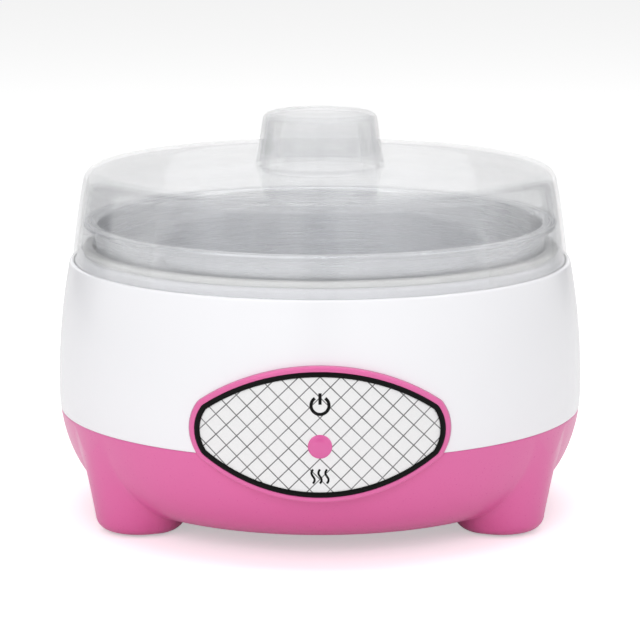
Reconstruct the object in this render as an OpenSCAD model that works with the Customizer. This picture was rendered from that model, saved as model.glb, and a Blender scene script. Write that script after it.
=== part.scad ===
// Round one-litre yogurt maker: white barrel shell on a four-legged base, a drawn
// steel pot on a heating plate, and a clear domed lid. Front faces -Y, +Z is up.

/* [Housing] */
// Widest outside diameter of the housing
body_d = 195; // [180:1:210]
// Height of the widest ring above the table
belly_z = 48; // [44:1:56]
// Height of the parting line between base and shell
seam_z = 40; // [36:1:42]
// Height of the ledge that carries the lid
ledge_z = 95; // [88:1:105]
// Outside diameter of the shell at the lid ledge
ledge_d = 186; // [178:1:192]
// Diameter of the flat underside
flat_d = 142; // [124:1:150]
// Gap between the flat underside and the table
ground_gap = 7; // [5:0.5:9]
// Wall thickness of the housing mouldings
wall = 2.2; // [1.8:0.1:2.8]

/* [Legs] */
// Distance of each leg from the centre line
leg_pitch = 76; // [70:1:80]
// Angle of each leg from the front or back
leg_angle = 60; // [50:1:65]
// Leg radius projected to the table
leg_r = 15; // [13:0.5:17]
// Rounding radius at the foot of a leg
leg_round = 5.5; // [3:0.5:6]
// Radius of a rubber foot pad
pad_r = 7.5; // [6:0.5:8.5]
// Thickness of a rubber foot pad
pad_t = 2; // [1.5:0.1:3]

/* [Pot] */
// Outside diameter of the pot wall at the rim
pot_d = 167.2; // [150:0.5:168]
// Height of the pot rim above the liner's flange
rim_rise = 8.9; // [5:0.1:12]
// Width of the flat rim
rim_w = 4.4; // [3:0.2:5]
// Sheet thickness of the pot
pot_t = 0.8; // [0.5:0.1:1.2]
// Height of the heating plate's top face
plate_z = 48.5; // [46:0.5:54]
// Corner radius at the bottom of the pot
pot_corner = 12; // [8:1:16]

/* [Lid] */
// Wall thickness of the lid
lid_t = 1.5; // [1.2:0.1:2]
// Height of the lid's flat top above its ledge
lid_h = 34.2; // [31:0.2:40]
// Radius of the rounded shoulder of the lid
lid_round = 10; // [7:0.5:12]
// Diameter of the knob at its foot
knob_d = 47.6; // [36:1:56]
// Height of the knob above the lid's top
knob_h = 20; // [14:1:24]

/* [Panel] */
// Width of the black bezel
panel_w = 86.6; // [76:1:90]
// Height of the black bezel
panel_h = 44; // [40:1:46]
// Height of the panel's middle
panel_z = 49; // [47.5:0.5:50]
// Width of the pink surround outside the bezel
surround = 2; // [1.5:0.1:2.6]
// Diameter of the lamp lens
lens_d = 8.4; // [6:0.2:10]

/* [Hidden] */

body_r = body_d / 2;
ledge_r = ledge_d / 2;
flat_r = flat_d / 2;
pot_r = pot_d / 2;
gap = 0.3;
arc_steps = 20;

// Liner, shared by the pieces that sit in or on it.
draft = 1.6;
pot_gap = 0.8;
liner_t = 1.6;
liner_in_r = pot_r + pot_gap;
liner_out_r = liner_in_r + liner_t;
flange_w = 2;
flange_t = 2.2;
deck_z = ledge_z + 3.4;
rim_z = deck_z + flange_t + rim_rise;
lid_z = ledge_z + lid_h;
floor_z = plate_z - 0.5;
floor_t = 2;
liner_corner = pot_corner + pot_gap;
lid_seat_r = ledge_r - 2.8;

// Heating plate and the parts under it.
plate_r = 58;
plate_t = 1.5;
seal_t = 1;
window_r = plate_r - 6;
chip = [26, 15, 2.4];
chip_pitch = 32;
mica_t = 0.5;
clamp_t = 1.2;
clamp_hole_x = 38;
stud_r = 1.75;
stud_h = 8;
screw_pitch_r = plate_r - 3;
under_plate = plate_z - plate_t;

// Housing screws and legs.
screw_r = 1.75;
head_r = 3.4;
head_h = 2.4;
post_r = 5.6;
bore_r = 4.2;
seat_low = 18;
seat_top = 22;
screw_len = 16;
pad_show = 0.8;
leg_top = seam_z - 17.5;

// Panel, built as the piece of a cylinder that an outline cuts out.
face_r = body_r + 1.2;
tongue_t = 4.4;
recess = 1.1;
bezel_w = 1.7;
plate_skin = 0.8;
lens_z = panel_z - 4.1;
stem_r = lens_d / 2 - 1;

// Mains parts.
grommet_z = seam_z - 8;
grommet_half = 6;
cord_r = 3.3;
block_size = [30, 16, 14];
block_y = 50;
inner_floor_z = ground_gap + wall;
block_gap = 0.8;
entry_z = inner_floor_z + 4.8;
wire_pitch = 1.2;
wire_r = 1.1;
lead_z = under_plate - wire_r - 0.1;
fuse_y = 16;
fuse_l = 12;
fuse_z = under_plate - 2.7;
holder_l = 13;
holder_r = 6;
holder_y = -face_r + tongue_t + 0.25;
lamp_lead_z = lens_z - 1.5;
resistor_y = holder_y + holder_l + 3;

// ---- outlines ------------------------------------------------------------

// Belly below the widest ring: a quarter ellipse, shrunk inwards by t.
function belly(t, up_to) = let (a = body_r - flat_r - t, b = belly_z - ground_gap - t,
    last = acos(min(1, max(0, (belly_z - up_to) / b))))
    [for (i = [0:arc_steps]) let (q = last * i / arc_steps) [flat_r + a * sin(q), belly_z - b * cos(q)]];

// Belly radius at one height.
function belly_r(t, z) = let (a = body_r - flat_r - t, b = belly_z - ground_gap - t)
    flat_r + a * sqrt(max(0, 1 - pow((belly_z - z) / b, 2)));

// Radius of the shell's barrel above the widest ring: one large arc.
function barrel_r(t, z) = let (h = ledge_z - belly_z, s = body_r - ledge_r, big = (h * h + s * s) / (2 * s))
    body_r - big + sqrt(big * big - pow(z - belly_z, 2)) - t;

function barrel(t, low, high) = [for (i = [0:arc_steps]) let (z = low + (high - low) * i / arc_steps)
    [barrel_r(t, z), z]];

// Quarter arcs, listed from the first angle to the last.
function arc(cx, cy, r, from, to, steps = 8) = [for (i = [0:steps]) let (q = from + (to - from) * i / steps)
    [cx + r * cos(q), cy + r * sin(q)]];

// Barrel-shaped panel outline: four big arcs joined by four corner arcs, all
// grown by g. The corner centres lie on both circles offset by the corner radius.
corner_r = 3;
side_r = 16;
top_r = 66;
corner_x = panel_w / 2 - corner_r - 1.7;
corner_y = 6.9;
function dist_centre(r, x) = sqrt(pow(r - corner_r, 2) - x * x);
side_cx = corner_x - dist_centre(side_r, corner_y);
top_cy = corner_y - dist_centre(top_r, corner_x);
side_a = asin(corner_y / (side_r - corner_r));
top_a = acos(corner_x / (top_r - corner_r));
function quadrant(g) = concat(arc(side_cx, 0, side_r + g, 0, side_a, 4),
    arc(corner_x, corner_y, corner_r + g, side_a + 8, top_a - 8, 4),
    arc(0, top_cy, top_r + g, top_a, 90, 12));
function mirror_x(p) = [for (i = [len(p) - 1:-1:0]) [-p[i][0], p[i][1]]];
function flip(p) = [for (q = p) [-q[0], -q[1]]];
function half_outline(g) = let (q = quadrant(g), m = mirror_x(q))
    concat(q, [for (i = [1:len(m) - 2]) m[i]]);
function outline(g) = concat(half_outline(g), flip(half_outline(g)));

module panel_cut(g, near, far, shrink = 1) {
    scale_z = panel_h / (2 * (top_cy + top_r));
    intersection() {
        translate([0, 0, panel_z]) rotate([90, 0, 0])
            linear_extrude(body_r + 20) polygon([for (p = outline(g)) [p[0], p[1] * scale_z]]);
        difference() {
            cylinder(r = far, h = 2 * panel_z, $fn = 96);
            translate([0, 0, -1]) cylinder(r = near, h = 2 * panel_z + 2, $fn = 96);
        }
    }
}

module at_legs() {
    for (sx = [-1, 1], sy = [-1, 1])
        translate([sx * leg_pitch * sin(leg_angle), sy * leg_pitch * cos(leg_angle), 0]) children();
}

module ring(r_out, r_in, h) {
    difference() {
        cylinder(r = r_out, h = h, $fn = 96);
        translate([0, 0, -1]) cylinder(r = r_in, h = h + 2, $fn = 96);
    }
}

// A tube of radius r swept along points, closed at both ends.
function unit(v) = v / norm(v);
function tangent(p, i) = unit(p[min(i + 1, len(p) - 1)] - p[max(i - 1, 0)]);
function side_of(t) = unit(cross(t, abs(t[2]) < 0.9 ? [0, 0, 1] : [1, 0, 0]));
module tube(points, r, sides = 8) {
    n = len(points);
    verts = [for (i = [0:n - 1]) let (t = tangent(points, i), u = side_of(t), v = cross(t, u))
        for (k = [0:sides - 1]) points[i] + r * (cos(360 * k / sides) * u + sin(360 * k / sides) * v)];
    walls = [for (i = [0:n - 2], k = [0:sides - 1]) let (a = i * sides + k, b = i * sides + (k + 1) % sides)
        [a, b, b + sides, a + sides]];
    first = [[for (k = [sides - 1:-1:0]) k]];
    last = [[for (k = [0:sides - 1]) (n - 1) * sides + k]];
    polyhedron(points = verts, faces = [for (f = concat(walls, first, last)) [for (i = [len(f) - 1:-1:0]) f[i]]]);
}

// Smooth points on a Bezier curve between two terminals.
function bezier(a, b, c, d, steps = 14) = [for (i = [0:steps]) let (t = i / steps, s = 1 - t)
    s * s * s * a + 3 * s * s * t * b + 3 * s * t * t * c + t * t * t * d];

// ---- housing -------------------------------------------------------------

module leg_profile(t) {
    r_at = leg_r + 0.19 * seam_z;
    foot = pad_show + t;
    edge = leg_r + 0.19 * (pad_show + leg_round);
    polygon(concat([[0, foot], [edge - leg_round, foot]],
        arc(edge - leg_round, pad_show + leg_round, leg_round - t, -90, 0),
        [[r_at - t, seam_z], [0, seam_z]]));
}

module belly_solid(t) {
    rotate_extrude($fn = 96)
        polygon(concat([[0, ground_gap + t]], belly(t, seam_z), [[0, seam_z]]));
}

// The legs, cut off where they would stand out of the belly.
module legs(t) {
    intersection() {
        at_legs() rotate_extrude($fn = 48) leg_profile(t);
        union() {
            rotate_extrude($fn = 96) polygon([[0, 0], [leg_pitch + leg_r + 2.4 - t, 0],
                [belly_r(t, leg_top), leg_top], [belly_r(t, leg_top + 6), leg_top + 6], [0, leg_top + 6]]);
        }
    }
}

module vents() {
    for (a = [0:30:330])
        rotate([0, 0, a]) translate([24, -1.5, ground_gap - 1]) cube([22, 3, wall + 2]);
}

module base_housing() {
    lip_r = belly_r(wall, seam_z);
    color("#e0679f") difference() {
        union() {
            difference() {
                union() {
                    belly_solid(0);
                    legs(0);
                }
                difference() {
                    union() {
                        belly_solid(wall);
                        legs(wall);
                    }
                    at_legs() cylinder(r = post_r, h = seat_top, $fn = 32);
                }
            }
            difference() {
                union() {
                    translate([0, 0, seam_z - 4]) ring(lip_r + 0.6, lip_r - 1.4, 4);
                    translate([0, 0, seam_z - 1]) ring(lip_r - 0.2, lip_r - 1.4, 4);
                }
                translate([-holder_r - 4, -body_r, seam_z - 5]) cube([2 * holder_r + 8, 20, 10]);
            }
            panel_cut(surround, face_r - tongue_t, face_r);
            for (s = [-1, 1]) translate([s * block_size[0] / 2 - 2, block_y - 2, ground_gap + 1])
                cube([4, 4, wall + block_gap - 1]);
        }
        at_legs() {
            translate([0, 0, -1]) cylinder(r = bore_r, h = seat_low + 1, $fn = 32);
            cylinder(r = screw_r + 0.15, h = seat_top + 1, $fn = 32);
            translate([0, 0, -1]) cylinder(r = pad_r + 0.2, h = pad_t + 1, $fn = 48);
        }
        vents();
        panel_cut(0.1, face_r - recess - 0.05, face_r + 5);
        translate([0, 0, lens_z]) rotate([90, 0, 0]) cylinder(r = stem_r + 0.1, h = body_r + 10, $fn = 32);
        translate([-grommet_half, body_r - 15, grommet_z - grommet_half])
            cube([2 * grommet_half, 30, seam_z]);
    }
}

module upper_shell() {
    edge = 0.8;
    deck_r = liner_out_r + 0.2;
    step_r = lid_seat_r - wall;
    shoulder = 1.6;
    color("white") difference() {
        rotate_extrude($fn = 96) polygon(concat(
            [for (i = [0:6]) let (z = seam_z + (belly_z - seam_z) * i / 6) [belly_r(0, z), z]],
            barrel(0, belly_z + 2, ledge_z - edge),
            arc(ledge_r - edge, ledge_z - edge, edge, 20, 90, 4),
            [[lid_seat_r, ledge_z]],
            arc(lid_seat_r - shoulder, deck_z - shoulder, shoulder, 0, 90, 6),
            [[deck_r, deck_z], [deck_r, deck_z - wall], [step_r, deck_z - wall], [step_r, ledge_z - wall],
             [barrel_r(wall, ledge_z - wall), ledge_z - wall]],
            [for (i = [arc_steps - 1:-1:1]) barrel(wall, belly_z, ledge_z - wall)[i]],
            [for (i = [6:-1:0]) let (z = seam_z + (belly_z - seam_z) * i / 6) [belly_r(wall, z), z]]));
        panel_cut(surround + gap, body_r - 20, body_r + 20);
    }
}

// Inner liner: the well that holds the pot, its flange lying on the shell's deck.
module inner_liner() {
    top = deck_z + flange_t;
    in_low = liner_in_r - draft;
    out_low = in_low + liner_t;
    c_out = liner_corner + floor_t;
    round_r = 1;
    color("white") difference() {
        union() {
            rotate_extrude($fn = 96) polygon(concat([[0, floor_z - floor_t]],
                arc(out_low - c_out, floor_z - floor_t + c_out, c_out, -90, 0, 10),
                [[liner_out_r, deck_z], [liner_out_r + flange_w, deck_z]],
                arc(liner_out_r + flange_w - round_r, top - round_r, round_r, 0, 90, 5),
                arc(liner_in_r + 0.6, top - 0.6, 0.6, 90, 180, 4), [[0, top - 0.6]]));
            at_legs() translate([0, 0, seat_top]) cylinder(r = post_r - 1, h = floor_z - seat_top + 6, $fn = 32);
        }
        rotate_extrude($fn = 96) polygon(concat([[0, floor_z]],
            arc(in_low - liner_corner, floor_z + liner_corner, liner_corner, -90, 0, 10),
            [[liner_in_r, top - 0.6], [liner_in_r, top + 1], [0, top + 1]]));
        translate([0, 0, floor_z - floor_t - 1]) cylinder(r = window_r, h = floor_t + 5, $fn = 96);
        translate([0, 0, under_plate]) cylinder(r = plate_r + 0.2, h = 10, $fn = 96);
        at_legs() translate([0, 0, seat_top - 1]) cylinder(r = screw_r + 0.05, h = screw_len, $fn = 32);
        for (a = [30:60:330]) rotate([0, 0, a]) translate([screw_pitch_r, 0, floor_z - floor_t - 1])
            cylinder(r = 1.3, h = 10, $fn = 24);
    }
}

// ---- heating -------------------------------------------------------------

module heat_plate() {
    color("silver") difference() {
        union() {
            translate([0, 0, under_plate]) cylinder(r = plate_r, h = plate_t, $fn = 96);
            for (s = [-1, 1]) translate([s * clamp_hole_x, 0, under_plate - 4]) cylinder(r = 3, h = 5, $fn = 24);
        }
        for (s = [-1, 1]) translate([s * clamp_hole_x, 0, under_plate - 5])
            cylinder(r = stud_r, h = 5, $fn = 24);
        for (a = [30:60:330]) rotate([0, 0, a]) translate([screw_pitch_r, 0, under_plate]) {
            translate([0, 0, -1]) cylinder(r = 1.3, h = 10, $fn = 24);
            translate([0, 0, plate_t - 1]) cylinder(r = 2.5, h = 5, $fn = 24);
        }
    }
}

// Silicone seal squeezed under the plate, inside the liner's window.
module plate_seal() {
    color("#d8482f") translate([0, 0, under_plate - seal_t]) ring(window_r - 0.2, window_r - 3, seal_t);
}

module ptc_heater() {
    color("#dcd6c8") for (s = [-1, 1])
        translate([s * chip_pitch / 2 - chip[0] / 2, -chip[1] / 2, under_plate - chip[2]]) cube(chip);
}

module mica_sheet() {
    color("#b8a37c") translate([-clamp_hole_x + 6, -chip[1] / 2 - 1, under_plate - chip[2] - mica_t])
        cube([2 * clamp_hole_x - 12, chip[1] + 2, mica_t]);
}

module heater_clamp() {
    z = under_plate - 4 - clamp_t;
    bar = clamp_hole_x - 6;
    rise = under_plate - chip[2] - mica_t;
    color("silver") difference() {
        union() {
            translate([-clamp_hole_x - 5, -4, z]) cube([2 * clamp_hole_x + 10, 8, clamp_t]);
            translate([-bar + 4, -4, z]) cube([2 * bar - 8, 8, rise - z]);
        }
        for (s = [-1, 1]) translate([s * clamp_hole_x, 0, z - 1]) cylinder(r = stud_r + 0.1, h = 5, $fn = 24);
    }
}

module pan_screw(r, r_head, h_head, len) {
    translate([0, 0, -h_head]) difference() {
        cylinder(r = r_head, h = h_head, $fn = 24);
        for (a = [0, 90]) rotate([0, 0, a]) translate([-r_head * 0.55, -0.4, -1]) cube([r_head * 1.1, 0.8, 2.2]);
    }
    cylinder(r = r, h = len, $fn = 24);
}

module clamp_screws() {
    color("silver") for (s = [-1, 1]) translate([s * clamp_hole_x, 0, under_plate - 4 - clamp_t])
        pan_screw(stud_r - 0.05, 3, 1.8, 4.5);
}

// Countersunk-flush screws that hold the plate down on the liner.
module plate_screws() {
    color("silver") for (a = [30:60:330]) rotate([0, 0, a])
        translate([screw_pitch_r, 0, under_plate + plate_t - 1]) {
            cylinder(r = 2.4, h = 0.9, $fn = 24);
            translate([0, 0, -2.4]) cylinder(r = 1.25, h = 2.4, $fn = 24);
        }
}

// Fuse body under a clip that bears on the plate.
module thermal_fuse() {
    color("#c9b27a") translate([-chip_pitch / 2 - 4, fuse_y, fuse_z]) {
        rotate([-90, 0, 0]) cylinder(r = 2.4, h = fuse_l, $fn = 24);
        for (y = [2, fuse_l - 4]) translate([-3, y, 0]) cube([6, 2, under_plate - fuse_z]);
    }
}

// ---- mains side ----------------------------------------------------------

module terminal_block() {
    w = block_size[0];
    d = block_size[1];
    h = block_size[2];
    z = inner_floor_z + block_gap;
    color("#efe9dc") difference() {
        translate([-w / 2, block_y - d / 2, z]) cube([w, d, h]);
        for (i = [-1, 1]) translate([i * w / 4, block_y, 0]) {
            for (s = [-1, 1]) translate([0, s * d / 4, entry_z]) cylinder(r = 2.4, h = 20, $fn = 24);
            translate([0, 0, entry_z]) rotate([90, 0, 0]) cylinder(r = 2.6, h = d + 2, center = true, $fn = 24);
        }
        translate([-1, block_y - d / 2 - 1, z + h - 3]) cube([2, d + 2, 4]);
    }
}

// Clamping screws, run down on to the wires.
module terminal_screws() {
    w = block_size[0];
    d = block_size[1];
    color("#d6b45a") for (i = [-1, 1], s = [-1, 1])
        translate([i * w / 4, block_y + s * d / 4, entry_z + wire_r + 0.05]) difference() {
            cylinder(r = 2.25, h = 6, $fn = 24);
            translate([-3, -0.4, 5]) cube([6, 0.8, 2]);
        }
}

// Cord bush, trapped in the notch between base and shell. Only its bore is
// round: the body is square, so it can't turn.
module cord_grommet() {
    g = grommet_half - 0.2;
    low = grommet_z - g - 2;
    in_y = sqrt(pow(belly_r(wall, low), 2) - pow(g + 2, 2)) - 0.1;
    out_y = belly_r(0, seam_z) + 0.2;
    color("#f2f2f2") difference() {
        union() {
            translate([-g, in_y - 1, grommet_z - g]) cube([2 * g, out_y - in_y + 2, 2 * g + 1.8]);
            translate([-g - 2, out_y, grommet_z - g - 1]) cube([2 * g + 4, 1.8, 2 * g + 2.6]);
            translate([-g - 2, in_y - 2.4, low]) cube([2 * g + 4, 2.4, 2 * g + 3.6]);
        }
        translate([0, in_y - 5, grommet_z]) rotate([-90, 0, 0]) cylinder(r = cord_r, h = 20, $fn = 48);
    }
}

// Leads from the terminals to the heater. The left one is cut by the fuse.
module supply_leads() {
    chip_x = chip_pitch / 2 + 4;
    a = [block_size[0] / 4 - wire_pitch, block_y - 2, entry_z];
    b = [-a[0], a[1], a[2]];
    color("#a8552c") {
        tube(concat([a], bezier(a - [0, 7, 0], [a[0], 14, entry_z], [chip_x, 34, lead_z],
            [chip_x, chip[1] / 2 + 0.05, lead_z], 16)), wire_r);
        tube(concat([b], bezier(b - [0, 7, 0], [b[0], 22, entry_z], [-chip_x, 48, fuse_z],
            [-chip_x, fuse_y + fuse_l + 0.1, fuse_z], 16)), wire_r);
        tube([[-chip_x, fuse_y - 0.1, fuse_z], [-chip_x, fuse_y - 2, fuse_z], [-chip_x, chip[1] / 2 + 2, lead_z],
            [-chip_x, chip[1] / 2 + 0.05, lead_z]], wire_r);
    }
}

// Leads from the terminals along the base to the lamp. The right one ends at the resistor.
module lamp_leads() {
    x = block_size[0] / 4 + wire_pitch;
    color("#2f5fa8") for (s = [-1, 1])
        tube(concat([[s * x, block_y - 2, entry_z]],
            bezier([s * x, block_y - 9, entry_z], [s * (x + 12), -10, inner_floor_z], [s * 2, -40, lamp_lead_z],
            [s * 2, s > 0 ? resistor_y + 6.05 : holder_y + holder_l - 1 + 0.05, lamp_lead_z], 20)), wire_r);
}

// Dropper resistor in the lamp's right lead, just behind the holder.
module lamp_resistor() {
    color("#c8b48c") translate([2, resistor_y, lamp_lead_z]) rotate([-90, 0, 0]) {
        cylinder(r = 1.3, h = 6, $fn = 24);
        translate([0, 0, -resistor_y + holder_y + holder_l - 0.95])
            cylinder(r = 0.5, h = resistor_y - holder_y - holder_l + 1.5, $fn = 24);
    }
}

// Cup glued behind the panel. Its flange bears on the curved inside of the tongue.
module lamp_holder() {
    color("#f4f4f4") translate([0, holder_y, lens_z]) rotate([-90, 0, 0]) difference() {
        union() {
            cylinder(r = holder_r, h = 2, $fn = 48);
            cylinder(r = 4.6, h = holder_l, $fn = 48);
        }
        translate([0, 0, -1]) cylinder(r = stem_r, h = holder_l, $fn = 48);
        for (s = [-1, 1]) translate([s * 2, lens_z - lamp_lead_z, 5]) cylinder(r = wire_r + 0.05, h = 20, $fn = 24);
    }
}

module indicator_lamp() {
    color("#ff9a6a") translate([0, holder_y + stem_r, lens_z]) rotate([-90, 0, 0]) {
        cylinder(r = stem_r - 0.05, h = holder_l - 1 - stem_r, $fn = 48);
        sphere(r = stem_r - 0.05, $fn = 48);
    }
}

module lamp_lens() {
    color("#e85ba0") translate([0, -face_r, lens_z]) rotate([-90, 0, 0]) {
        translate([0, 0, -0.5]) cylinder(r = lens_d / 2, h = 0.5 + recess - plate_skin - 0.1, $fn = 48);
        cylinder(r = stem_r - 0.05, h = tongue_t - 0.4, $fn = 48);
    }
}

// ---- panel ---------------------------------------------------------------

module panel_plate() {
    color("#e9e9ea") difference() {
        panel_cut(-bezel_w - 0.1, face_r - recess, face_r - recess + plate_skin);
        translate([0, 0, lens_z]) rotate([90, 0, 0]) cylinder(r = stem_r, h = body_r + 10, $fn = 32);
    }
}

module panel_bezel() {
    color("#101010") difference() {
        panel_cut(0, face_r - recess, face_r + 0.25);
        panel_cut(-bezel_w, face_r - recess - 1, face_r + 2);
    }
}

// ---- fixings and feet ----------------------------------------------------

module housing_screws() {
    color("silver") at_legs() translate([0, 0, seat_low])
        pan_screw(screw_r, head_r, head_h, screw_len);
}

module foot_pads() {
    color("#d9d9d9") at_legs() cylinder(r = pad_r, h = pad_t - 0.05, $fn = 48);
}

// ---- pot and lid ---------------------------------------------------------

// Drawn steel pot: tapered wall, rounded bottom corner, flat rim with a rolled edge.
module pot() {
    low_r = pot_r - draft;
    bead = 0.9;
    color("silver") difference() {
        rotate_extrude($fn = 96) polygon(concat([[0, plate_z]],
            arc(low_r - pot_corner, plate_z + pot_corner, pot_corner, -90, 0, 10),
            [[pot_r, rim_z - 1.8], [pot_r + 0.6, rim_z - pot_t - 0.2], [pot_r + rim_w - bead - 0.4, rim_z - pot_t]],
            arc(pot_r + rim_w - bead, rim_z - bead, bead, -110, 90, 8),
            [[0, rim_z]]));
        rotate_extrude($fn = 96) polygon(concat([[0, plate_z + pot_t]],
            arc(low_r - pot_corner, plate_z + pot_corner, pot_corner - pot_t, -90, 0, 10),
            [[pot_r - pot_t, rim_z - 1.4]],
            arc(pot_r - pot_t + 1.2, rim_z - 1.2, 1.2, 180, 90, 5), [[pot_r, rim_z + 1], [0, rim_z + 1]]));
    }
}

// One moulding: skirt, rounded shoulder, flat top and a hollow tapered knob.
module lid_outline(t) {
    foot_r = ledge_r - 0.9 - t;
    top_r = foot_r - 3.4;
    knob_r = knob_d / 2 - t;
    knob_round = 3;
    tip_r = knob_r - 3;
    polygon(concat([[0, ledge_z - (t > 0 ? 1 : 0)], [foot_r, ledge_z - (t > 0 ? 1 : 0)],
        [top_r, lid_z - lid_round]],
        arc(top_r - lid_round + t, lid_z - lid_round, lid_round - t, 8, 90, 10),
        [[knob_r, lid_z - t], [tip_r, lid_z + knob_h - knob_round - t]],
        arc(tip_r - knob_round, lid_z + knob_h - knob_round - t, knob_round, 5, 90, 6),
        [[0, lid_z + knob_h - t]]));
}

module lid() {
    color([0.93, 0.94, 0.95, 0.4]) difference() {
        rotate_extrude($fn = 96) lid_outline(0);
        rotate_extrude($fn = 96) lid_outline(lid_t);
    }
}

base_housing();
upper_shell();
inner_liner();
heat_plate();
plate_seal();
ptc_heater();
mica_sheet();
heater_clamp();
clamp_screws();
plate_screws();
thermal_fuse();
terminal_block();
terminal_screws();
cord_grommet();
supply_leads();
lamp_leads();
lamp_resistor();
lamp_holder();
indicator_lamp();
lamp_lens();
panel_plate();
panel_bezel();
housing_screws();
foot_pads();
pot();
lid();
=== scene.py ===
"""A round one-litre yogurt maker: white barrel shell on a pink legged base, steel pot, clear lid.
Built in the order it is put together, from the base up. Lengths are millimetres, turned to metres
as each mesh is made. Front faces -Y and +Z is up."""
import math

import bmesh
import bpy
import numpy as np
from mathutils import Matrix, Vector


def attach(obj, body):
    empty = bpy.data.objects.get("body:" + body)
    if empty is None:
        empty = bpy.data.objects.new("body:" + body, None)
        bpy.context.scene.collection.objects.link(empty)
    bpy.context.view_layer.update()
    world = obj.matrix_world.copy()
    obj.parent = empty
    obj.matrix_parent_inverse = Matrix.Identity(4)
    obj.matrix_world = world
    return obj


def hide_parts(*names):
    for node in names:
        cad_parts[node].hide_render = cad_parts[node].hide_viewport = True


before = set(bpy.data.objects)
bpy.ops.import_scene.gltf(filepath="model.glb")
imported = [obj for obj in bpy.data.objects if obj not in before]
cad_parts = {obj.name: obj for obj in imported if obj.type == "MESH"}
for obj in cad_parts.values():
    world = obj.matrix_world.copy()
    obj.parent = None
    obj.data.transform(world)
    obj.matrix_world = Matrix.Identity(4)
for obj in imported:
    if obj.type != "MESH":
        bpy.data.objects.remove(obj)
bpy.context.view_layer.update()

# ---- camera, floor and light ---------------------------------------------------------------
# A long lens a good metre away, looking slightly down on the front. Soft white light from all round.
eye = bpy.data.cameras.new("camera")
eye.lens = 171.3
eye.sensor_width = 36
eye.clip_end = 30
camera = bpy.data.objects.new("camera", eye)
bpy.context.scene.collection.objects.link(camera)
camera.location = (0, -1.1201, 0.2805)
camera.rotation_euler = (Vector((0, 0, 0.07086)) - camera.location).to_track_quat("-Z", "Y").to_euler()
bpy.context.scene.camera = camera
bpy.context.scene.view_settings.view_transform = "Standard"


def linear(hex_colour):
    """An sRGB hex colour as linear light."""
    parts = [int(hex_colour[i:i + 2], 16) / 255 for i in (1, 3, 5)]
    return [c / 12.92 if c <= 0.04045 else ((c + 0.055) / 1.055) ** 2.4 for c in parts] + [1]


def add(tree, kind, settings=None, **links):
    """One shader node, with its settings and its linked or constant inputs; i0 is the input numbered 0."""
    made = tree.nodes.new(kind)
    for key, value in (settings or {}).items():
        setattr(made, key, value)
    for key, value in links.items():
        numbered = key[0] == "i" and key[1:].isdigit()
        socket = made.inputs[int(key[1:]) if numbered else key.replace("_", " ")]
        if isinstance(value, bpy.types.NodeSocket):
            tree.links.new(value, socket)
        else:
            socket.default_value = value
    return made


# Matt white studio paper. The camera sees it as plain white, and shiny faces see it nearly so.
paper = bpy.data.materials.new("studio_paper")
paper.use_nodes = True
tree = paper.node_tree
tree.nodes.clear()
seen = add(tree, "ShaderNodeLightPath")
direct = add(tree, "ShaderNodeMath", {"operation": "MAXIMUM"}, i0=seen.outputs["Is Camera Ray"],
             i1=seen.outputs["Is Transmission Ray"])
matt = add(tree, "ShaderNodeBsdfDiffuse", Color=linear("#F4F4F4"))
lift = add(tree, "ShaderNodeMapRange", None, i0=direct.outputs[0], i3=0.08, i4=0.45)
glow = add(tree, "ShaderNodeEmission", Color=(1, 1, 1, 1), Strength=lift.outputs[0])
both = add(tree, "ShaderNodeAddShader", i0=matt.outputs[0], i1=glow.outputs[0])
shown = add(tree, "ShaderNodeMath", {"operation": "MAXIMUM"}, i0=direct.outputs[0],
            i1=seen.outputs["Is Glossy Ray"])
pick = add(tree, "ShaderNodeMixShader", i0=shown.outputs[0], i1=matt.outputs[0], i2=both.outputs[0])
add(tree, "ShaderNodeOutputMaterial", Surface=pick.outputs[0])

sheet = bpy.data.meshes.new("floor")
sheet.from_pydata([(-9, -9, 0), (9, -9, 0), (9, 9, 0), (-9, 9, 0)], [], [(0, 1, 2, 3)])
floor = bpy.data.objects.new("floor", sheet)
bpy.context.scene.collection.objects.link(floor)
floor.data.materials.append(paper)

world = bpy.data.worlds.new("studio")
bpy.context.scene.world = world
world.use_nodes = True
tree = world.node_tree
tree.nodes.clear()
seen = add(tree, "ShaderNodeLightPath")
direct = add(tree, "ShaderNodeMath", {"operation": "MAXIMUM"}, i0=seen.outputs["Is Camera Ray"],
             i1=seen.outputs["Is Transmission Ray"])
shown = add(tree, "ShaderNodeMath", {"operation": "MAXIMUM"}, i0=direct.outputs[0],
            i1=seen.outputs["Is Glossy Ray"])
level = add(tree, "ShaderNodeMapRange", None, i0=shown.outputs[0], i3=0.46, i4=1.0)
sky = add(tree, "ShaderNodeBackground", Color=(1, 1, 1, 1), Strength=level.outputs[0])
add(tree, "ShaderNodeOutputWorld", Surface=sky.outputs[0])


def softbox(name, place, aim, size, watts, mirrored=True):
    """A square soft light that points at a spot on the object. Glossy faces don't show it unless mirrored."""
    lamp = bpy.data.lights.new(name, "AREA")
    lamp.shape = "RECTANGLE"
    lamp.size, lamp.size_y = size
    lamp.energy = watts
    holder = bpy.data.objects.new(name, lamp)
    bpy.context.scene.collection.objects.link(holder)
    holder.location = place
    holder.rotation_euler = (Vector(aim) - Vector(place)).to_track_quat("-Z", "Y").to_euler()
    holder.visible_glossy = mirrored


softbox("front_box", (-0.2, -1.5, 0.85), (0, 0, 0.07), (0.9, 0.7), 7.2, False)
softbox("left_strip", (-0.85, -0.9, 0.95), (0, 0, 0.09), (0.3, 1.0), 2.0)
softbox("right_strip", (1.15, -0.5, 0.95), (0, 0, 0.09), (0.3, 1.0), 1.8)
softbox("top_box", (0, 0.1, 1.2), (0, 0, 0.07), (1.0, 1.0), 8, False)

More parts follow.
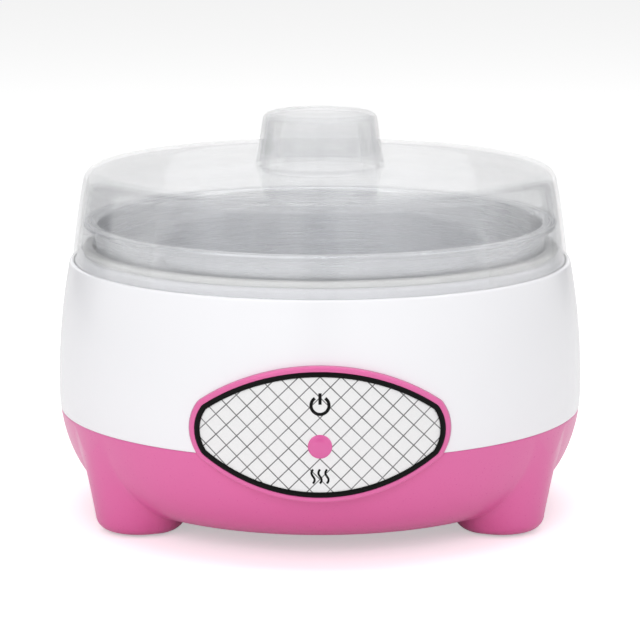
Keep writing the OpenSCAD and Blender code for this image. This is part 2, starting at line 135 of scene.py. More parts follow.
# Grey cards that only shiny faces see. They put the soft dark bands into steel and the gentle
# fall-off at the shell's edges.
card_grey = bpy.data.materials.new("card_grey")
card_grey.use_nodes = True
tree = card_grey.node_tree
tree.nodes.clear()
dull = add(tree, "ShaderNodeEmission", Color=linear("#3C3C40"), Strength=1.0)
add(tree, "ShaderNodeOutputMaterial", Surface=dull.outputs[0])


def card(name, azimuth, away, wide, low, high):
    """An upright card at a bearing from the front, turned to face the object."""
    a = math.radians(azimuth)
    out = Vector((math.sin(a), -math.cos(a), 0))
    side = Vector((math.cos(a), math.sin(a), 0))
    corners = [out * away + side * s * wide / 2 + Vector((0, 0, z))
               for s, z in ((-1, low), (1, low), (1, high), (-1, high))]
    sheet = bpy.data.meshes.new(name)
    sheet.from_pydata([tuple(c) for c in corners], [], [(0, 1, 2, 3)])
    made = bpy.data.objects.new(name, sheet)
    bpy.context.scene.collection.objects.link(made)
    sheet.materials.append(card_grey)
    made.visible_camera = made.visible_diffuse = made.visible_shadow = made.visible_transmission = False


card("front_card", 0, 0.9, 0.24, 0.0, 1.6)
card("back_left_card", -128, 1.0, 0.5, 0.0, 1.6)
card("back_right_card", 140, 1.0, 0.3, 0.0, 1.6)

# ---- base housing --------------------------------------------------------------------------
# One injection moulding in pink ABS: a shallow bowl with four hollow legs, vent slots in its
# floor, and a lip at the rim that the shell sits over.
WALL = 2.2
BELLY_Z = 48
SEAM_Z = 40


def belly_r(z, inset=0.0):
    """Radius of the lower housing at a height: a quarter ellipse."""
    tall, wide = 41 - inset, 26.5 - inset
    return 71 + wide * math.sqrt(max(0.0, 1 - ((BELLY_Z - z) / tall) ** 2))


def fillet(corners):
    """Round each (r, z, radius) corner of a closed outline; a radius of 0 stays sharp."""
    out = []
    count = len(corners)
    for i, (x, y, radius) in enumerate(corners):
        here = np.array((x, y), float)
        if radius <= 0:
            out.append(tuple(here))
            continue
        before = np.array(corners[i - 1][:2], float) - here
        after = np.array(corners[(i + 1) % count][:2], float) - here
        la, lb = np.linalg.norm(before), np.linalg.norm(after)
        before, after = before / la, after / lb
        half = math.acos(max(-1.0, min(1.0, float(before @ after)))) / 2
        reach = min(radius / math.tan(half), la * 0.48, lb * 0.48)
        radius = reach * math.tan(half)
        centre = here + (before + after) / np.linalg.norm(before + after) * radius / math.sin(half)
        first = here + before * reach - centre
        last = here + after * reach - centre
        turn = math.atan2(first[0] * last[1] - first[1] * last[0], float(first @ last))
        steps = 5 if radius < 2.5 else 10
        for k in range(steps + 1):
            a = turn * k / steps
            c, s = math.cos(a), math.sin(a)
            out.append(tuple(centre + (first[0] * c - first[1] * s, first[0] * s + first[1] * c)))
    return out


def skin_over(rings):
    """Faces between each ring of points and the next, and from the last back to the first."""
    faces = []
    for i, low in enumerate(rings):
        high = rings[(i + 1) % len(rings)]
        if low[0] == low[-1] and high[0] == high[-1]:
            continue
        for k in range(len(low)):
            n = (k + 1) % len(low)
            face = []
            for v in (low[k], low[n], high[n], high[k]):
                if v not in face:
                    face.append(v)
            faces.append(face)
    return faces


def revolve(outline, around):
    """Points and faces of a closed outline swept round the Z axis; points on the axis are shared."""
    angles = np.linspace(0, 2 * math.pi, around, endpoint=False)
    points, rings = [], []
    for r, z in outline:
        start = len(points)
        if r < 1e-6:
            points.append((0, 0, z))
            rings.append([start] * around)
        else:
            points += [(r * math.cos(a), r * math.sin(a), z) for a in angles]
            rings.append(list(range(start, start + around)))
    return np.array(points, float), skin_over(rings)


def piece(name, points, faces, body, crease=35):
    """A smooth-shaded mesh from millimetres, riding on a body."""
    mesh = bpy.data.meshes.new(name)
    mesh.from_pydata([tuple(p) for p in np.asarray(points) * 0.001], [], faces)
    grown = bmesh.new()
    grown.from_mesh(mesh)
    bmesh.ops.recalc_face_normals(grown, faces=grown.faces)
    grown.to_mesh(mesh)
    grown.free()
    mesh.shade_smooth()
    mesh.set_sharp_from_angle(angle=math.radians(crease))
    made = bpy.data.objects.new(name, mesh)
    bpy.context.scene.collection.objects.link(made)
    if body:
        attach(made, body)
    return made


def cut(target, tools, crease=35):
    """Cut the tools out of the target for good, and throw the tools away."""
    for tool in tools:
        step = target.modifiers.new("cut", "BOOLEAN")
        step.operation = "DIFFERENCE"
        step.solver = "EXACT"
        step.object = tool
        bpy.context.view_layer.update()
        done = bpy.data.meshes.new_from_object(target.evaluated_get(bpy.context.evaluated_depsgraph_get()))
        target.modifiers.clear()
        target.data = done
        bpy.data.objects.remove(tool)
    target.data.shade_smooth()
    target.data.set_sharp_from_angle(angle=math.radians(crease))


def block(name, low, high):
    """A plain cutting block between two corners, in millimetres."""
    (x0, y0, z0), (x1, y1, z1) = low, high
    points = [(x, y, z) for z in (z0, z1) for x, y in ((x0, y0), (x1, y0), (x1, y1), (x0, y1))]
    faces = [(0, 3, 2, 1), (4, 5, 6, 7), (0, 1, 5, 4), (1, 2, 6, 5), (2, 3, 7, 6), (3, 0, 4, 7)]
    return piece(name, points, faces, None)


def slots(name, angles, near, far, half, low, high):
    """Round-ended slot cutters that radiate from the middle."""
    points, faces = [], []
    for a in angles:
        start = len(points)
        bend = np.linspace(-math.pi / 2, math.pi / 2, 9)
        ring = [(far + half * math.cos(t), half * math.sin(t)) for t in bend]
        ring += [(near - half * math.cos(t), -half * math.sin(t)) for t in bend]
        for z in (low, high):
            for x, y in ring:
                points.append((x * math.cos(a) - y * math.sin(a), x * math.sin(a) + y * math.cos(a), z))
        n = len(ring)
        faces.append([start + k for k in range(n - 1, -1, -1)])
        faces.append([start + n + k for k in range(n)])
        faces += [[start + k, start + (k + 1) % n, start + n + (k + 1) % n, start + n + k] for k in range(n)]
    return piece(name, points, faces, None)


LEGS = [(sx * 65.82, sy * 38.0) for sx in (-1, 1) for sy in (-1, 1)]


def with_legs(points, rows):
    """Pull the outer skin down over the legs, with a soft blend where a leg meets the belly."""
    x, y, z = points[rows].T
    foot = np.full(len(x), 99.0)
    for lx, ly in LEGS:
        d = np.hypot(x - lx, y - ly)
        arc = 6.3 - np.sqrt(np.clip(5.5 ** 2 - np.clip(d - 10.7, 0, 5.5) ** 2, 0, None))
        foot = np.minimum(foot, np.where(d < 16.2, arc, 6.3 + (d - 16.2) / 0.19))
    soft = 9.0
    near = np.clip(soft - np.abs(z - foot), 0, None) / soft
    points[rows, 2] = np.minimum(z, foot) - np.where(foot < 60, near ** 2 * soft / 4, 0) * (np.minimum(z, foot) > 1.2)
    return points


inner = [(71 + 24.3 * math.sin(q), BELLY_Z - 38.8 * math.cos(q)) for q in np.linspace(1.36, 0, 24)]
outer_q = np.linspace(0, math.asin((belly_r(SEAM_Z - 0.35) - 71) / 26.5), 104)
skin = [(0, 7)] + [(r, 7) for r in (16, 26, 36, 46)] + [(r, 7) for r in np.arange(49, 71, 0.6)]
skin += [(71 + 26.5 * math.sin(q), BELLY_Z - 41 * math.cos(q)) for q in outer_q]
rim = [(96.85, SEAM_Z - 0.05), (96.6, SEAM_Z), (94.55, SEAM_Z), (94.5, 42.8), (94.3, 43), (93.5, 43),
       (93.38, 42.9), (93.38, 38.5)]
AROUND = 640
points, faces = revolve(skin + rim + inner + [(0, BELLY_Z - 38.8)], AROUND)
outer_rows = np.arange(0, 1 + (len(skin) - 1) * AROUND)
base = piece("base_moulding", with_legs(points, outer_rows), faces, "housing", 40)
cut(base, [slots("vent_cutter", [math.radians(a) for a in range(0, 360, 30)], 25.5, 44.5, 1.5, 5, 12),
           block("notch_cutter", (-6, 82, 26), (6, 110, 50))], 40)
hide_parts("base_housing")


def moulded(name, hex_colour, rough, gloss_ior, grain_mm, tint=0.02, depth_mm=0.01):
    """Injection-moulded plastic: even colour, a faint flow mottle, and the tool's fine grain."""
    made = bpy.data.materials.new(name)
    made.use_nodes = True
    tree = made.node_tree
    tree.nodes.clear()
    place = add(tree, "ShaderNodeTexCoord").outputs["Object"]
    flow = add(tree, "ShaderNodeTexNoise", None, Vector=place, Scale=28.0, Detail=2.0, Roughness=0.5)
    colour = linear(hex_colour)
    darker = [c * (1 - tint) for c in colour[:3]] + [1]
    shade = add(tree, "ShaderNodeMix", {"data_type": "RGBA"}, i0=flow.outputs["Fac"], i6=darker,
                i7=colour)
    grain = add(tree, "ShaderNodeTexNoise", None, Vector=place, Scale=1000 / grain_mm, Detail=2.0,
                Roughness=0.6)
    rough_range = add(tree, "ShaderNodeMapRange", None, i0=grain.outputs["Fac"],
                      i3=rough * 0.94, i4=rough * 1.06)
    relief = add(tree, "ShaderNodeBump", None, Strength=0.015, Distance=depth_mm * 0.001,
                 Height=grain.outputs["Fac"])
    skin_shader = add(tree, "ShaderNodeBsdfPrincipled", None, Base_Color=shade.outputs[2],
                      Roughness=rough_range.outputs[0], IOR=gloss_ior, Normal=relief.outputs[0])
    add(tree, "ShaderNodeOutputMaterial", Surface=skin_shader.outputs[0])
    return made


# Pink ABS, polished tool: clean gloss with soft-edged highlights, IOR 1.53.
pink_abs = moulded("pink_moulded_abs", "#E268A6", 0.28, 1.53, 0.6)
base.data.materials.append(pink_abs)

# ---- panel surround ------------------------------------------------------------------------
# The oval boss moulded on the front of the base. It stands 1.2 mm proud of the shell, with a
# rounded outer edge and a shallow pocket for the bezel and plate.
PANEL_Z = 49.0
FACE_R = 98.7
CORNER = (38.6, 6.9, 3.0)
SIDE_R, TOP_R, PANEL_H = 16.0, 66.0, 44.0


def panel_outline(grow, fine=6):
    """The barrel-shaped outline as (x, z) about the panel's middle: four long arcs and four corners."""
    cx, cy, cr = CORNER
    side_c = cx - math.sqrt((SIDE_R - cr) ** 2 - cy * cy)
    top_c = cy - math.sqrt((TOP_R - cr) ** 2 - cx * cx)
    squash = PANEL_H / (2 * (top_c + TOP_R))
    side_a = math.asin(cy / (SIDE_R - cr))
    top_a = math.acos(cx / (TOP_R - cr))
    quarter = []
    for middle, r, start, stop, n in (((side_c, 0), SIDE_R + grow, 0, side_a, 2 * fine),
                                      ((cx, cy), cr + grow, side_a, top_a, fine),
                                      ((0, top_c), TOP_R + grow, top_a, math.pi / 2, 6 * fine)):
        for k in range(n + 1):
            a = start + (stop - start) * k / n
            spot = (middle[0] + r * math.cos(a), (middle[1] + r * math.sin(a)) * squash)
            if not quarter or math.dist(spot, quarter[-1]) > 1e-6:
                quarter.append(spot)
    half = quarter + [(-x, z) for x, z in quarter[-2::-1]]
    return half + [(-x, -z) for x, z in half[1:-1]]


def panel_rows(rows):
    """A closed form that follows the outline. A row is (grow, share of the way out, cylinder radius)."""
    points, rings = [], []
    for grow, share, radius in rows:
        start = len(points)
        ring = panel_outline(grow)
        if share <= 0:
            points.append((0, -radius, PANEL_Z))
            rings.append([start] * len(ring))
            continue
        for x, z in ring:
            x, z = x * share, z * share
            points.append((x, -math.sqrt(radius ** 2 - x * x), PANEL_Z + z))
        rings.append(list(range(start, len(points))))
    return points, skin_over(rings)


inward = [0.97, 0.9, 0.8, 0.68, 0.55, 0.42, 0.28, 0.14]
edge = [(2.0 - 1.0 * (1 - math.cos(t)), 1, FACE_R - 1.0 * (1 - math.sin(t)))
        for t in np.linspace(0, math.pi / 2, 7)]
rows = [(0, 0, 94.35)] + [(2.0, s, 94.35) for s in inward[::-1]] + [(2.0, 1, 94.35)] + edge
rows += [(0.35, 1, FACE_R), (0.2, 1, FACE_R - 0.06), (0.1, 1, FACE_R - 0.2), (0.1, 1, FACE_R - 1.13)]
rows += [(0.1, s, FACE_R - 1.13) for s in inward] + [(0, 0, FACE_R - 1.13)]
points, faces = panel_rows(rows)
surround = piece("panel_surround", points, faces, "housing", 40)
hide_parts("base_housing")
surround.data.materials.append(pink_abs)

# ---- upper shell ---------------------------------------------------------------------------
# White ABS barrel, open at the bottom and screwed down from the legs. Its top turns in to a
# ledge that carries the lid and a raised deck that carries the liner.
ARC_R = 247.69


def barrel_r(z, inset=0.0):
    """Radius of the shell above its widest ring."""
    return 97.5 - ARC_R + math.sqrt(ARC_R ** 2 - (z - BELLY_Z) ** 2) - inset


outline = [(belly_r(z), z, 0) for z in np.linspace(SEAM_Z + 0.35, 47, 6)]
outline += [(barrel_r(z), z, 0) for z in np.linspace(BELLY_Z + 1, 93.6, 20)]
outline += [(93.0, 95, 0.8), (90.2, 95, 0.3), (90.2, 98.4, 1.6), (86.25, 98.4, 0.3), (86.25, 96.2, 0),
            (88, 96.2, 0), (88, 92.8, 0), (barrel_r(92.8, WALL), 92.8, 1)]
outline += [(barrel_r(z, WALL), z, 0) for z in np.linspace(91, BELLY_Z + 1, 12)]
outline += [(belly_r(z, WALL), z, 0) for z in np.linspace(47, SEAM_Z, 5)]
outline += [(96.6, SEAM_Z + 0.02, 0), (96.9, SEAM_Z + 0.1, 0)]
points, faces = revolve(fillet(outline), 288)
shell = piece("shell_moulding", points, faces, "housing")
ring = panel_outline(2.08)
points = [(x, y, PANEL_Z + z) for y in (-120, -80) for x, z in ring]
n = len(ring)
faces = [list(range(n)), list(range(2 * n - 1, n - 1, -1))]
faces += [[k, n + k, n + (k + 1) % n, (k + 1) % n] for k in range(n)]
cut(shell, [piece("surround_cutter", points, faces, None)])
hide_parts("upper_shell")

# White ABS, polished tool: bright, faintly cool, with a clear gloss.
white_abs = moulded("white_moulded_abs", "#F5F5F8", 0.25, 1.53, 0.6, 0.012)
shell.data.materials.append(white_abs)

# ---- inner liner ---------------------------------------------------------------------------
# Natural white polypropylene cup. Its flange lies on the shell's deck and its floor is open
# under the pot for the heating plate.
outline = [(52, 46, 0), (84.4, 46, 14.8), (86, 98.4, 0), (88, 98.4, 0.3), (88, 100.6, 1), (84.4, 100.6, 0.8),
           (82.8, 48, 12.8), (58.2, 48, 0.3), (58.2, 47, 0), (52, 47, 0.2)]
points, faces = revolve(fillet(outline), 256)
liner = piece("liner_moulding", points, faces, "housing")
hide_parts("inner_liner")
# Polypropylene, lightly spark-eroded tool: satin, so highlights spread, IOR 1.49.
liner.data.materials.append(moulded("white_moulded_pp", "#F0F0EE", 0.42, 1.49, 0.8, 0.015, 0.02))

# ---- heating plate and heater --------------------------------------------------------------
# A pressed aluminium disc screwed to the liner, with two ceramic heater chips clamped under it.


def bevelled(name, width_mm, pieces=2):
    """Break the edges of a small part that is used as it was drawn."""
    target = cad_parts[name]
    soft = target.modifiers.new("broken_edges", "BEVEL")
    soft.width = width_mm * 0.001
    soft.segments = pieces
    soft.limit_method = "ANGLE"
    soft.angle_limit = math.radians(40)
    target.data.materials.clear()
    return target


def turned_metal(name, hex_colour, rough, line_mm, depth_mm=0.01, straight=False):
    """Bare metal whose fine lines run round the Z axis, as turning or spinning leaves them."""
    made = bpy.data.materials.new(name)
    made.use_nodes = True
    tree = made.node_tree
    tree.nodes.clear()
    place = add(tree, "ShaderNodeTexCoord").outputs["Object"]
    axis = add(tree, "ShaderNodeSeparateXYZ", None, i0=place)
    flat = add(tree, "ShaderNodeCombineXYZ", None, X=axis.outputs[0], Y=axis.outputs[1])
    radius = add(tree, "ShaderNodeVectorMath", {"operation": "LENGTH"}, i0=flat.outputs[0]).outputs["Value"]
    across = axis.outputs[0] if straight else radius
    fine = 1000 / line_mm
    lines = add(tree, "ShaderNodeCombineXYZ", None,
                **{way: add(tree, "ShaderNodeMath", {"operation": "MULTIPLY"}, i0=along, i1=scale).outputs[0]
                   for way, along, scale in (("X", across, fine), ("Y", axis.outputs[2], fine),
                                             ("Z", axis.outputs[1], 14.0))})
    scratch = add(tree, "ShaderNodeTexNoise", None, Vector=lines.outputs[0], Scale=1.0, Detail=3.0,
                  Roughness=0.65)
    haze = add(tree, "ShaderNodeTexNoise", None, Vector=place, Scale=35.0, Detail=2.0)
    mixed = add(tree, "ShaderNodeMath", {"operation": "MULTIPLY_ADD"}, i0=haze.outputs["Fac"], i1=0.5,
                i2=scratch.outputs["Fac"])
    colour = linear(hex_colour)
    shade = add(tree, "ShaderNodeMix", {"data_type": "RGBA"}, i0=scratch.outputs["Fac"],
                i6=[c * 0.9 for c in colour[:3]] + [1], i7=colour)
    spread = add(tree, "ShaderNodeMapRange", None, i0=mixed.outputs[0], i1=0.3, i2=1.2,
                 i3=rough * 0.8, i4=rough * 1.25)
    relief = add(tree, "ShaderNodeBump", None, Strength=0.12, Distance=depth_mm * 0.001,
                 Height=scratch.outputs["Fac"])
    metal = add(tree, "ShaderNodeBsdfPrincipled", None, Base_Color=shade.outputs[2], Metallic=1.0,
                Roughness=spread.outputs[0], Normal=relief.outputs[0])
    add(tree, "ShaderNodeOutputMaterial", Surface=metal.outputs[0])
    return made


# Spun aluminium: pale grey, soft reflections.
aluminium = turned_metal("spun_aluminium", "#D2D3D6", 0.34, 0.5)
bevelled("heat_plate", 0.25).data.materials.append(aluminium)
# Silicone rubber: rust red, quite matt.
silicone = moulded("red_silicone", "#C0462F", 0.6, 1.41, 0.5, 0.05, 0.02)
bevelled("plate_seal", 0.2).data.materials.append(silicone)
# Sintered ceramic chips in a cement coat: chalky and speckled.
ceramic = moulded("sintered_ceramic", "#CFC9BA", 0.75, 1.5, 0.35, 0.12, 0.05)
bevelled("ptc_heater", 0.3).data.materials.append(ceramic)
# Pressed mica: brown flakes with a slight sheen.
mica = moulded("pressed_mica", "#A98F62", 0.45, 1.56, 1.2, 0.25, 0.03)
bevelled("mica_sheet", 0.1).data.materials.append(mica)
# Zinc-plated steel bar and screws: bluish grey and slightly cloudy.
zinc = turned_metal("zinc_plated_steel", "#BFC3C9", 0.36, 0.8, straight=True)
bevelled("heater_clamp", 0.25).data.materials.append(zinc)
bevelled("clamp_screws", 0.12).data.materials.append(zinc)
bevelled("housing_screws", 0.15).data.materials.append(zinc)
# Stainless screws, turned heads.
bevelled("plate_screws", 0.12).data.materials.append(turned_metal("turned_stainless", "#C9C9CB", 0.25, 0.3))
# Tin-plated fuse can.
tinned = turned_metal("tinned_can", "#C6B27C", 0.32, 0.6, straight=True)
bevelled("thermal_fuse", 0.2).data.materials.append(tinned)

# ---- mains side ----------------------------------------------------------------------------
# Nylon terminal block on two pads, PVC and silicone leads, and a soft PVC bush for the cord.
bevelled("terminal_block", 0.4).data.materials.append(moulded("natural_nylon", "#E9E4D6", 0.4, 1.53, 0.9, 0.04))
bevelled("terminal_screws", 0.15).data.materials.append(turned_metal("turned_brass", "#D2AE5C", 0.26, 0.3))
soft_pvc = moulded("soft_white_pvc", "#EDEDEC", 0.5, 1.53, 0.7, 0.03, 0.02)
bevelled("cord_grommet", 0.6, 3).data.materials.append(soft_pvc)
for lead, finish in (("supply_leads", moulded("brown_silicone_sleeve", "#94512F", 0.5, 1.41, 0.8, 0.08, 0.02)),
                     ("lamp_leads", moulded("blue_pvc_sleeve", "#2C5798", 0.38, 1.53, 0.8, 0.06))):
    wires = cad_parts[lead]
    wires.data.materials.clear()
    wires.data.materials.append(finish)
    wires.data.shade_smooth()

# ---- lamp ----------------------------------------------------------------------------------
# A small neon in a nylon cup behind the panel, with its dropper resistor in one lead.
bevelled("lamp_holder", 0.25).data.materials.append(moulded("white_nylon", "#EFEFEC", 0.4, 1.53, 0.9, 0.03))
bevelled("lamp_resistor", 0.3).data.materials.append(moulded("lacquered_resistor", "#C5AE84", 0.3, 1.5, 0.4, 0.15))
neon = moulded("neon_glass", "#F6B48E", 0.08, 1.5, 2.0, 0.05)
neon.node_tree.nodes["Principled BSDF"].inputs["Transmission Weight"].default_value = 0.6
bevelled("indicator_lamp", 0.1).data.materials.append(neon)

# ---- lamp lens -----------------------------------------------------------------------------
# Pink acrylic button lens, very slightly domed, pushed in from the front.
LENS_Z = 44.9
dome = [(0, 0.68), (1.4, 0.65), (2.5, 0.55), (3.3, 0.42), (3.8, 0.27), (4.08, 0.08), (4.2, -0.1)]
profile = dome + [(4.2, -0.25), (3.1, -0.3), (3.1, -4.0), (0, -4.0)]
points, faces = revolve(profile, 64)
points = np.column_stack((points[:, 0], -(FACE_R - 0.2) - points[:, 2], LENS_Z + points[:, 1]))
lens = piece("lens_button", points, faces, "housing")
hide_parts("lamp_lens")
# Tinted acrylic: deep even pink, high gloss, IOR 1.49.
acrylic = moulded("pink_acrylic", "#DF66A6", 0.12, 1.49, 1.5, 0.03, 0.004)
acrylic.node_tree.nodes["Principled BSDF"].inputs["Subsurface Weight"].default_value = 0.15
acrylic.node_tree.nodes["Principled BSDF"].inputs["Subsurface Radius"].default_value = (0.002, 0.0008, 0.0012)
lens.data.materials.append(acrylic)

# ---- panel plate ---------------------------------------------------------------------------
# A thin satin-silver plate, curved to the shell and screen-printed with a lattice of fine lines.
plate_out = FACE_R - 0.3
rows = [(0, 0, plate_out - 0.8)] + [(-1.8, s, plate_out - 0.8) for s in inward[::-1]]
rows += [(-1.8, 1, plate_out - 0.8)]
rows += [(-1.8, 1, plate_out - 0.1), (-1.87, 1, plate_out - 0.03), (-1.95, 1, plate_out)]
rows += [(-1.95, s, plate_out) for s in inward] + [(0, 0, plate_out)]
points, faces = panel_rows(rows)
plate = piece("printed_plate", points, faces, "housing", 40)
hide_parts("panel_plate")

# Screen-printed satin foil: silver-white ground with a lattice of grey lines. LINE is their width
# and DIAGONAL the width of a cell from corner to corner, in millimetres.
foil = bpy.data.materials.new("printed_satin_foil")
foil.use_nodes = True
tree = foil.node_tree
tree.nodes.clear()
place = add(tree, "ShaderNodeTexCoord").outputs["Object"]
axis = add(tree, "ShaderNodeSeparateXYZ", None, i0=place)
DIAGONAL, LINE, CROSSING_Z = 7.2, 0.36, 40.6
height = add(tree, "ShaderNodeMath", {"operation": "SUBTRACT"}, i0=axis.outputs[2], i1=CROSSING_Z * 0.001)
half_line = LINE / 2 / (DIAGONAL / math.sqrt(2))
line_masks = []
for way in ("ADD", "SUBTRACT"):
    slant = add(tree, "ShaderNodeMath", {"operation": way}, i0=axis.outputs[0], i1=height.outputs[0])
    cells = add(tree, "ShaderNodeMath", {"operation": "DIVIDE"}, i0=slant.outputs[0], i1=DIAGONAL * 0.001)
    centred = add(tree, "ShaderNodeMath", {"operation": "ADD"}, i0=cells.outputs[0], i1=0.5)
    part = add(tree, "ShaderNodeMath", {"operation": "FRACT"}, i0=centred.outputs[0])
    offset = add(tree, "ShaderNodeMath", {"operation": "SUBTRACT"}, i0=part.outputs[0], i1=0.5)
    away = add(tree, "ShaderNodeMath", {"operation": "ABSOLUTE"}, i0=offset.outputs[0])
    line_masks.append(add(tree, "ShaderNodeMapRange", {"interpolation_type": "SMOOTHSTEP"},
                          i0=away.outputs[0], i1=half_line * 0.7, i2=half_line * 1.4, i3=1.0, i4=0.0))
lattice = add(tree, "ShaderNodeMath", {"operation": "MAXIMUM"}, i0=line_masks[0].outputs[0],
              i1=line_masks[1].outputs[0])
speck = add(tree, "ShaderNodeTexNoise", None, Vector=place, Scale=2600.0, Detail=2.0)
cloud = add(tree, "ShaderNodeTexNoise", None, Vector=place, Scale=90.0, Detail=2.0)
ground = add(tree, "ShaderNodeMix", {"data_type": "RGBA"}, i0=speck.outputs["Fac"],
             i6=linear("#E6E6E7"), i7=linear("#F3F3F3"))
ink_share = add(tree, "ShaderNodeMapRange", None, i0=cloud.outputs["Fac"], i1=0.3, i2=0.7, i3=0.72, i4=0.95)
inked = add(tree, "ShaderNodeMath", {"operation": "MULTIPLY"}, i0=lattice.outputs[0], i1=ink_share.outputs[0])
printed = add(tree, "ShaderNodeMix", {"data_type": "RGBA"}, i0=inked.outputs[0], i6=ground.outputs[2],
              i7=linear("#2A2A2C"))
relief = add(tree, "ShaderNodeBump", None, Strength=0.15, Distance=0.00002, Height=speck.outputs["Fac"])
satin = add(tree, "ShaderNodeBsdfPrincipled", None, Base_Color=printed.outputs[2], Roughness=0.42, IOR=1.5,
            Normal=relief.outputs[0])
add(tree, "ShaderNodeOutputMaterial", Surface=satin.outputs[0])
plate.data.materials.append(foil)

# ---- panel print ---------------------------------------------------------------------------
# Black printed marks, a hair thick: the usual stand-by sign above the lamp, and three plain
# wavy strokes for warmth below it.


def mark(name, strokes, width):
    """Flat-topped strokes of ink along (x, z) paths, laid on the curved plate."""
    points, faces = [], []
    for stroke in strokes:
        path = np.array(stroke, float)
        along = np.gradient(path, axis=0)
        along /= np.linalg.norm(along, axis=1)[:, None]
        side = np.column_stack((-along[:, 1], along[:, 0])) * width / 2
        start = len(points)
        for middle, offset in zip(path, side):
            for lift in (0.0, 0.06):
                for way in (-1, 1):
                    x, z = middle + way * offset
                    points.append((x, -math.sqrt((plate_out - 0.01 + lift) ** 2 - x * x), PANEL_Z + z))
        for k in range(len(path) - 1):
            a, b = start + 4 * k, start + 4 * k + 4
            faces += [(a, a + 1, b + 1, b), (a + 2, b + 2, b + 3, a + 3), (a, b, b + 2, a + 2),
                      (a + 1, a + 3, b + 3, b + 1)]
        end = start + 4 * (len(path) - 1)
        faces += [(start, start + 2, start + 3, start + 1), (end, end + 1, end + 3, end + 2)]
    made = piece(name, points, faces, "housing", 30)
    return made


SIGN_Z, SIGN_R = 10.4, 3.1
turn = [math.radians(a) for a in np.linspace(125, 415, 40)]
sign = [[(SIGN_R * math.cos(a), SIGN_Z + SIGN_R * math.sin(a)) for a in turn],
        [(0, SIGN_Z + y) for y in (0.3, 1.6, 3.0, 4.3)]]
ink_marks = [mark("standby_sign", sign, 1.1)]
HEAT_Z = -14.6
heat = [[(x + 0.55 * math.sin(2 * math.pi * t), HEAT_Z + 5.0 * (t - 0.5)) for t in np.linspace(0, 1, 17)]
        for x in (-2.4, 0, 2.4)]
ink_marks.append(mark("heat_sign", heat, 0.75))
# Screen-print ink: dense black, satin.
ink = moulded("black_screen_ink", "#0C0C0D", 0.4, 1.5, 0.3, 0.2, 0.01)
ink.node_tree.nodes["Principled BSDF"].inputs["Specular IOR Level"].default_value = 0.12
for printed_mark in ink_marks:
    printed_mark.data.materials.append(ink)

# ---- bezel ---------------------------------------------------------------------------------
# Black gloss ABS frame that snaps into the pocket round the plate.
rows = [(0, 1, FACE_R - 1.1), (-1.7, 1, FACE_R - 1.1), (-1.7, 1, FACE_R - 0.1), (-1.6, 1, FACE_R + 0.1),
        (-1.35, 1, FACE_R + 0.22), (-0.35, 1, FACE_R + 0.25), (-0.1, 1, FACE_R + 0.14), (0, 1, FACE_R - 0.05)]
points, faces = panel_rows(rows)
bezel = piece("bezel_frame", points, faces, "housing", 60)
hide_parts("panel_bezel")
# Black ABS from a fine-etched tool: deep black, with little of the room in it.
black_abs = moulded("black_moulded_abs", "#050505", 0.4, 1.53, 0.6, 0.2)
black_abs.node_tree.nodes["Principled BSDF"].inputs["Specular IOR Level"].default_value = 0.12
bezel.data.materials.append(black_abs)

# ---- feet ----------------------------------------------------------------------------------
# Grey-white rubber pads pressed into the legs; they hide the housing screws.
rubber = moulded("pale_rubber", "#D4D4D4", 0.65, 1.52, 0.5, 0.05, 0.03)
bevelled("foot_pads", 0.5, 3).data.materials.append(rubber)

# ---- pot -----------------------------------------------------------------------------------
# Deep-drawn stainless pot, 0.8 mm sheet, brushed round and round, with a flat rolled rim.
outline = [(0, 48.5, 0), (82.0, 48.5, 12), (83.6, 107.7, 0.5), (84.3, 108.5, 0.5), (87.2, 108.6, 0.3),
           (88.0, 107.9, 0.45), (88.0, 109.5, 0.75), (82.2, 109.5, 1.9), (81.1, 49.3, 11.2), (0, 49.3, 0)]
points, faces = revolve(fillet(outline), 288)
pot = piece("drawn_pot", points, faces, "pot", 30)
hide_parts("pot")
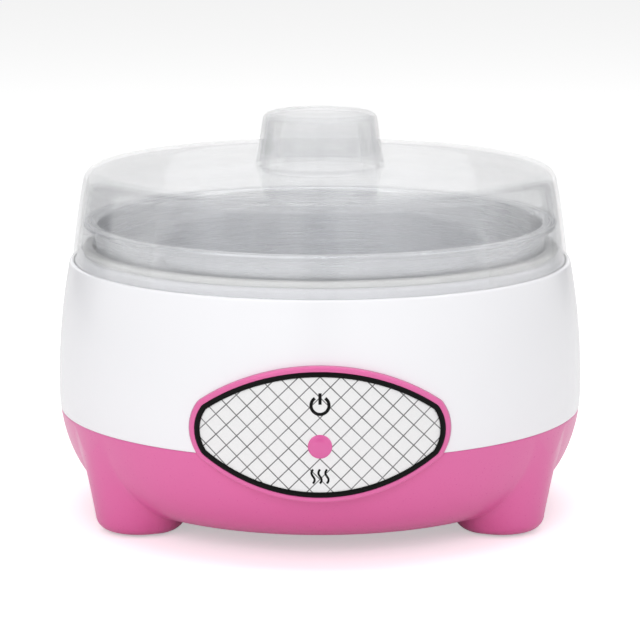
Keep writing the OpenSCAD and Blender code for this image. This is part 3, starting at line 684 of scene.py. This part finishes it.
# 304 stainless, satin brushed: cool light grey, highlights drawn out across the lines.
steel = turned_metal("brushed_stainless", "#E3E4E7", 0.27, 0.45, 0.02)
tree = steel.node_tree
shine = tree.nodes["Principled BSDF"]
shine.inputs["Anisotropic"].default_value = 0.85
shine.inputs["Anisotropic Rotation"].default_value = 0.25
round_lines = add(tree, "ShaderNodeTangent", {"direction_type": "RADIAL", "axis": "Z"})
tree.links.new(round_lines.outputs[0], shine.inputs["Tangent"])
pot.data.materials.append(steel)

# ---- lid -----------------------------------------------------------------------------------
# One clear polystyrene moulding, 1.5 mm thick: skirt, rounded shoulder, flat top, hollow knob.
outline = [(92.1, 95, 0.4), (91.1, 103.5, 0), (89.9, 112, 0), (88.7, 119.5, 3), (86.8, 129.2, 8.5), (23.9, 129.2, 1.2),
           (20.9, 149.2, 2.8), (0, 149.2, 0), (0, 147.7, 0), (19.6, 147.7, 1.6), (22.5, 127.7, 0.8), (85.6, 127.7, 7.2),
           (87.25, 119.4, 2), (88.4, 112, 0), (89.6, 103.5, 0), (90.6, 95, 0.4)]
points, faces = revolve(fillet(outline), 288)
lid = piece("clear_lid", points, faces, "lid", 30)
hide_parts("lid")
# Clear polystyrene with a slight milkiness and a glossy face. Its IOR starts from 1.59 and is
# matched down to 1.45.
clear = bpy.data.materials.new("clear_polystyrene")
clear.use_nodes = True
tree = clear.node_tree
tree.nodes.clear()
place = add(tree, "ShaderNodeTexCoord").outputs["Object"]
flow = add(tree, "ShaderNodeTexNoise", None, Vector=place, Scale=24.0, Detail=2.0)
slick = add(tree, "ShaderNodeMapRange", None, i0=flow.outputs["Fac"], i3=0.02, i4=0.06)
milk = add(tree, "ShaderNodeMix", {"data_type": "RGBA"}, i0=flow.outputs["Fac"],
           i6=linear("#E0E1E3"), i7=linear("#E8E9EB"))
body = add(tree, "ShaderNodeBsdfPrincipled", None, Base_Color=milk.outputs[2], Roughness=slick.outputs[0],
           IOR=1.45, Transmission_Weight=0.7, Alpha=0.38)
add(tree, "ShaderNodeOutputMaterial", Surface=body.outputs[0])
lid.data.materials.append(clear)
